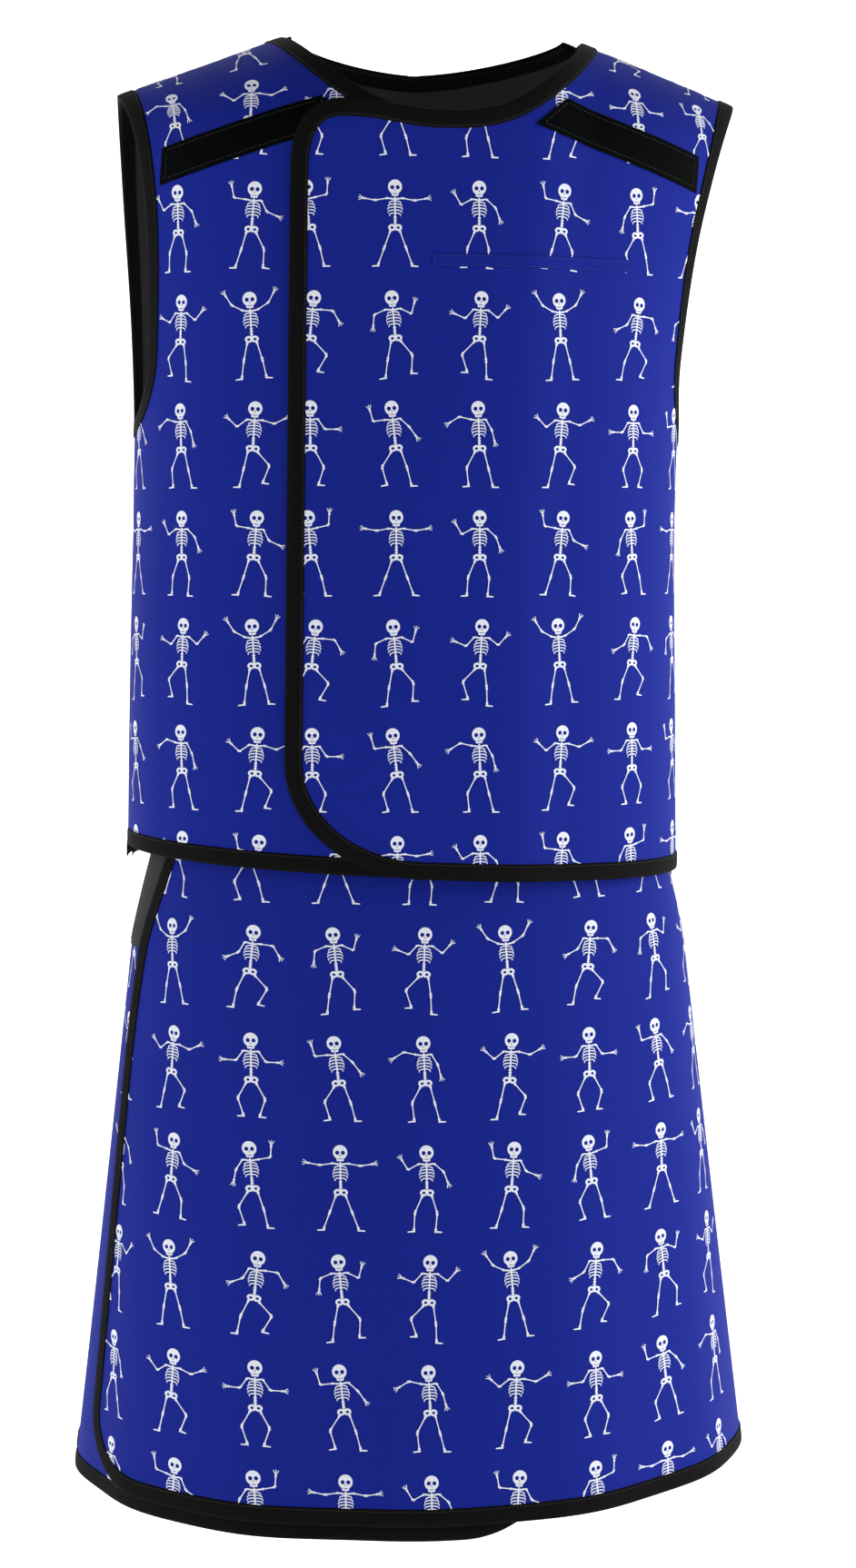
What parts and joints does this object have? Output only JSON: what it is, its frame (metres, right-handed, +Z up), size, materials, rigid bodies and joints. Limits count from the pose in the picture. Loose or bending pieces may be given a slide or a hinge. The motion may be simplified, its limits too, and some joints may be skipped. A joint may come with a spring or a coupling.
{
  "type": "lead apron",
  "caption": "Two-piece wrap apron for radiation protection: a sleeveless vest that closes across the front over a flared wrap skirt, all edges bound in black tape.",
  "frame": {"origin": "centre of the skirt's waist opening, level with the top of its waistband", "axes": "+Z up the wearer's body, -Y towards the front of the apron, +X towards the wearer's left"},
  "size_m": [0.5189, 0.4076, 1.0897],
  "materials": {
    "shielding_core": "matt lead-loaded vinyl sheet",
    "grey_lining": "dark grey woven nylon lining",
    "foam_pad": "dark grey covered foam",
    "black_webbing": "black ribbed nylon webbing",
    "grey_loop": "grey loop tape",
    "black_hook": "black hook tape",
    "black_pocketing": "black thin nylon",
    "black_binding": "black ribbed binding tape, one stitch line",
    "printed_blue_fabric": "royal blue coated nylon with a pale printed repeat"
  },
  "bodies": {
    "skirt": {"skirt_waistband": "black_webbing", "skirt_back_shell": "printed_blue_fabric", "skirt_back_core": "shielding_core", "skirt_back_lining": "grey_lining", "skirt_over_shell": "printed_blue_fabric", "skirt_over_core": "shielding_core", "skirt_over_lining": "grey_lining", "skirt_under_shell": "printed_blue_fabric", "skirt_under_core": "shielding_core", "skirt_under_lining": "grey_lining", "skirt_over_binding": "black_binding", "skirt_under_binding": "black_binding", "skirt_back_binding": "black_binding", "skirt_loop_patch": "grey_loop", "skirt_hook_patch": "black_hook", "skirt_side_tape": "black_binding"},
    "vest": {"vest_back_shell": "printed_blue_fabric", "vest_back_core": "shielding_core", "vest_back_lining": "grey_lining", "vest_left_front_shell": "printed_blue_fabric", "vest_left_front_core": "shielding_core", "vest_left_front_lining": "grey_lining", "vest_right_front_shell": "printed_blue_fabric", "vest_right_front_core": "shielding_core", "vest_right_front_lining": "grey_lining", "vest_neck_binding": "black_binding", "vest_hem_binding": "black_binding", "left_armhole_binding": "black_binding", "right_armhole_binding": "black_binding", "right_shoulder_seam_tape": "black_binding", "left_shoulder_band": "black_webbing", "right_shoulder_band": "black_webbing", "left_shoulder_pad": "foam_pad", "right_shoulder_pad": "foam_pad", "pocket_welt_end": "printed_blue_fabric", "pocket_bag_end": "black_pocketing"},
    "over_flap": {"over_flap_shell": "printed_blue_fabric", "over_flap_core": "shielding_core", "over_flap_lining": "grey_lining", "over_flap_binding": "black_binding", "pocket_welt": "printed_blue_fabric", "pocket_bag": "black_pocketing", "vest_loop_patches": "grey_loop"},
    "under_flap": {"under_flap_shell": "printed_blue_fabric", "under_flap_core": "shielding_core", "under_flap_lining": "grey_lining", "under_flap_binding": "black_binding", "vest_hook_patches": "black_hook"},
    "skirt_corner": {"skirt_corner_shell": "printed_blue_fabric", "skirt_corner_core": "shielding_core", "skirt_corner_lining": "grey_lining", "skirt_corner_binding": "black_binding"}
  },
  "joints": [
    {"name": "vest_lift", "type": "slide", "parent": "skirt", "child": "vest", "axis": [0, 0, 1], "range_m": [0, 0.25]},
    {"name": "over_flap_fold", "type": "hinge", "parent": "vest", "child": "over_flap", "pos_m": [0.072, -0.1463, 0.1], "axis": [0, 0.0178, 0.9998], "range_deg": [0, 120]},
    {"name": "under_flap_fold", "type": "hinge", "parent": "vest", "child": "under_flap", "pos_m": [-0.045, -0.14311, 0.1], "axis": [0, -0.0267, -0.9996], "range_deg": [0, 60]},
    {"name": "skirt_corner_fold", "type": "hinge", "parent": "skirt", "child": "skirt_corner", "pos_m": [-0.20654, -0.05331, -0.14681], "axis": [-0.1479, 0.2619, 0.9537], "range_deg": [0, 45]}
  ],
  "couplings": [
    {"joint": "under_flap_fold", "follows": "over_flap_fold", "ratio": 0.5}
  ]
}
